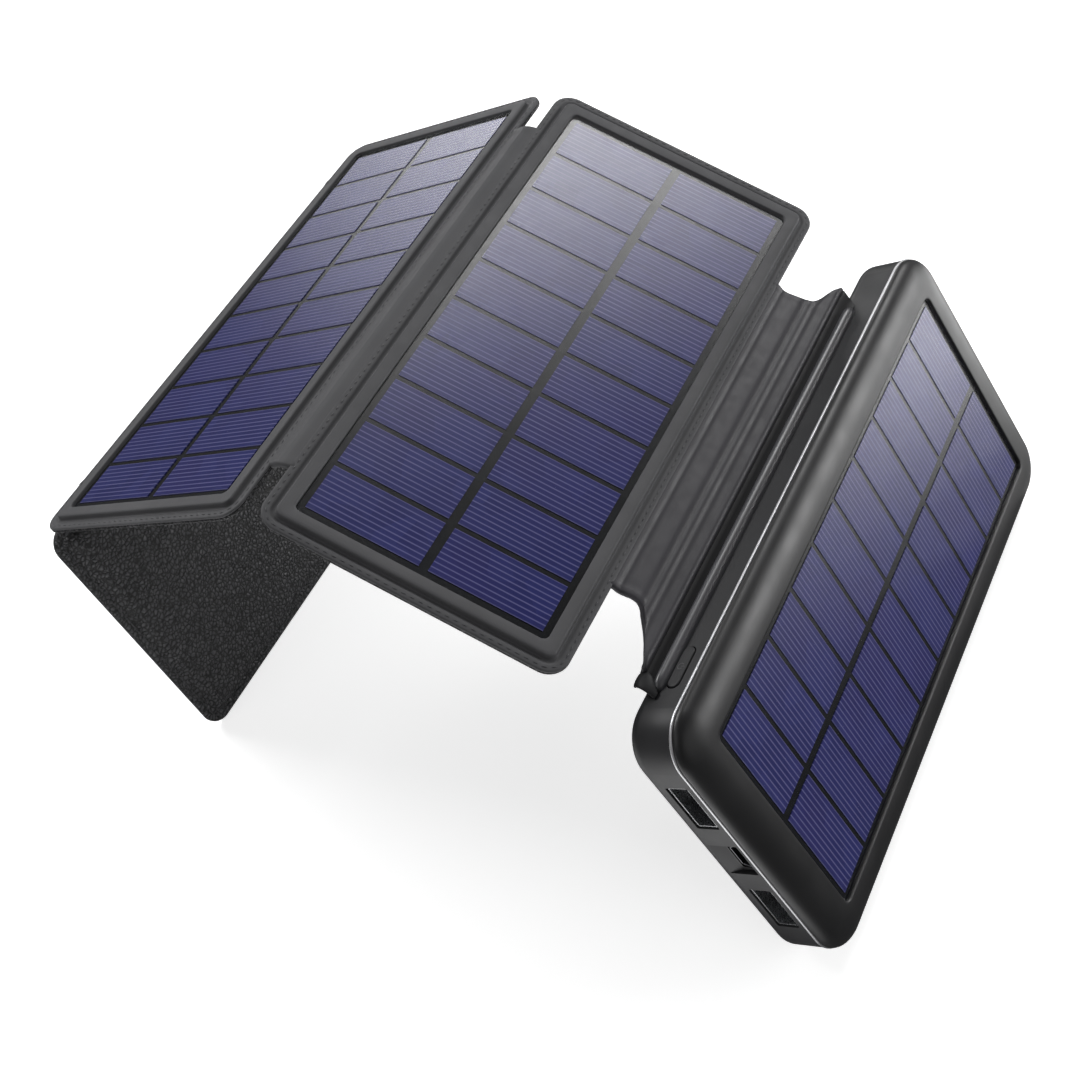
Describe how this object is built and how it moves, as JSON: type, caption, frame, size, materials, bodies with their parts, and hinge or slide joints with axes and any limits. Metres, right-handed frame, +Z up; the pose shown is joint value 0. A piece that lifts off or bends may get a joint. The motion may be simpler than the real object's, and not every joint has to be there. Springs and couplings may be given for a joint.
{
  "type": "solar phone charger",
  "caption": "Solar phone charger standing open like a tent: a dark grey power bank with a solar panel in its lid, and leather bound solar panels hinged to its side",
  "frame": {"origin": "centre of the bounding box on the ground plane", "axes": "X across the row of panels with the power bank at +X, Y along the hinges with the ports at -Y, Z up"},
  "size_m": [0.197, 0.1554, 0.1029],
  "materials": {
    "leather_outer": "fine pebble grain, satin",
    "leather_lining": "smooth, matt, stitched edge",
    "bank_plastic": "soft satin",
    "silver_trim": "satin",
    "gloss_black": "glossy",
    "port_steel": "bright, lightly worn",
    "solar_backing": "black board under the clear sheet",
    "solar_cell": "indigo silicon with fine silver fingers",
    "clear_cover": "clear, slightly hazy",
    "stiffener": "plain board",
    "copper": "tinned flat conductor",
    "circuit_board": "solder mask",
    "battery_foil": "laminated foil",
    "lead_red": "insulated wire",
    "lead_black": "insulated wire"
  },
  "bodies": {
    "power_bank": {"front_shell": "bank_plastic", "trim_ring": "silver_trim", "rear_shell": "bank_plastic", "bank_solar_board": "solar_backing", "bank_solar_cells": "solar_cell", "bank_cover_sheet": "clear_cover", "hinge_bar": "gloss_black", "spine_tab": "leather_lining", "usb_a_port_left": "port_steel", "usb_a_tongue_left": "gloss_black", "usb_a_port_right": "port_steel", "usb_a_tongue_right": "gloss_black", "micro_usb_port": "port_steel", "micro_usb_tongue": "gloss_black", "power_switch": "gloss_black", "main_board": "circuit_board", "board_screws": "port_steel", "battery_cell_near": "battery_foil", "battery_cell_far": "battery_foil", "battery_lead_positive": "lead_red", "battery_lead_negative": "lead_black"},
    "button": {"power_button": "gloss_black"},
    "spine_fold": {"spine_leather": "leather_outer", "spine_lining": "leather_lining", "spine_ribbon": "copper"},
    "first_panel": {"first_front_lining": "leather_lining", "first_back_cover": "leather_outer", "first_stiffener": "stiffener", "first_solar_board": "solar_backing", "first_solar_cells": "solar_cell", "first_cover_sheet": "clear_cover"},
    "inner_fold": {"first_strip_leather": "leather_outer", "first_strip_lining": "leather_lining", "first_strip_ribbon": "copper"},
    "second_panel": {"second_front_lining": "leather_lining", "second_back_cover": "leather_outer", "second_stiffener": "stiffener", "second_solar_board": "solar_backing", "second_solar_cells": "solar_cell", "second_cover_sheet": "clear_cover"},
    "outer_fold": {"second_strip_leather": "leather_outer", "second_strip_lining": "leather_lining", "second_strip_ribbon": "copper"},
    "third_panel": {"third_front_lining": "leather_lining", "third_back_cover": "leather_outer", "third_stiffener": "stiffener", "third_solar_board": "solar_backing", "third_solar_cells": "solar_cell", "third_cover_sheet": "clear_cover"}
  },
  "joints": [
    {"name": "fold_bank_spine", "type": "hinge", "parent": "power_bank", "child": "spine_fold", "pos_m": [0.05126, 0, 0.07032], "axis": [0, 1, 0], "range_deg": [-60, 75]},
    {"name": "fold_spine_first", "type": "hinge", "parent": "spine_fold", "child": "first_panel", "pos_m": [0.03851, 0, 0.07823], "axis": [0, 1, 0], "range_deg": [-78, 57]},
    {"name": "fold_first_inner", "type": "hinge", "parent": "first_panel", "child": "inner_fold", "pos_m": [-0.02793, 0, 0.10211], "axis": [0, 1, 0], "range_deg": [-54, 126]},
    {"name": "fold_inner_second", "type": "hinge", "parent": "inner_fold", "child": "second_panel", "pos_m": [-0.03282, 0, 0.10069], "axis": [0, 1, 0], "range_deg": [-80.8, 99.2]},
    {"name": "fold_second_outer", "type": "hinge", "parent": "second_panel", "child": "outer_fold", "pos_m": [-0.09659, 0, 0.07038], "axis": [0, -1, 0], "range_deg": [-140, 40]},
    {"name": "fold_outer_third", "type": "hinge", "parent": "outer_fold", "child": "third_panel", "pos_m": [-0.09774, 0, 0.06593], "axis": [0, -1, 0], "range_deg": [-126.2, 53.8]},
    {"name": "press_power_button", "type": "slide", "parent": "power_bank", "child": "button", "axis": [0.4729, 0, -0.8811], "range_m": [0, 0.0005], "stiffness_N_per_m": 900}
  ]
}
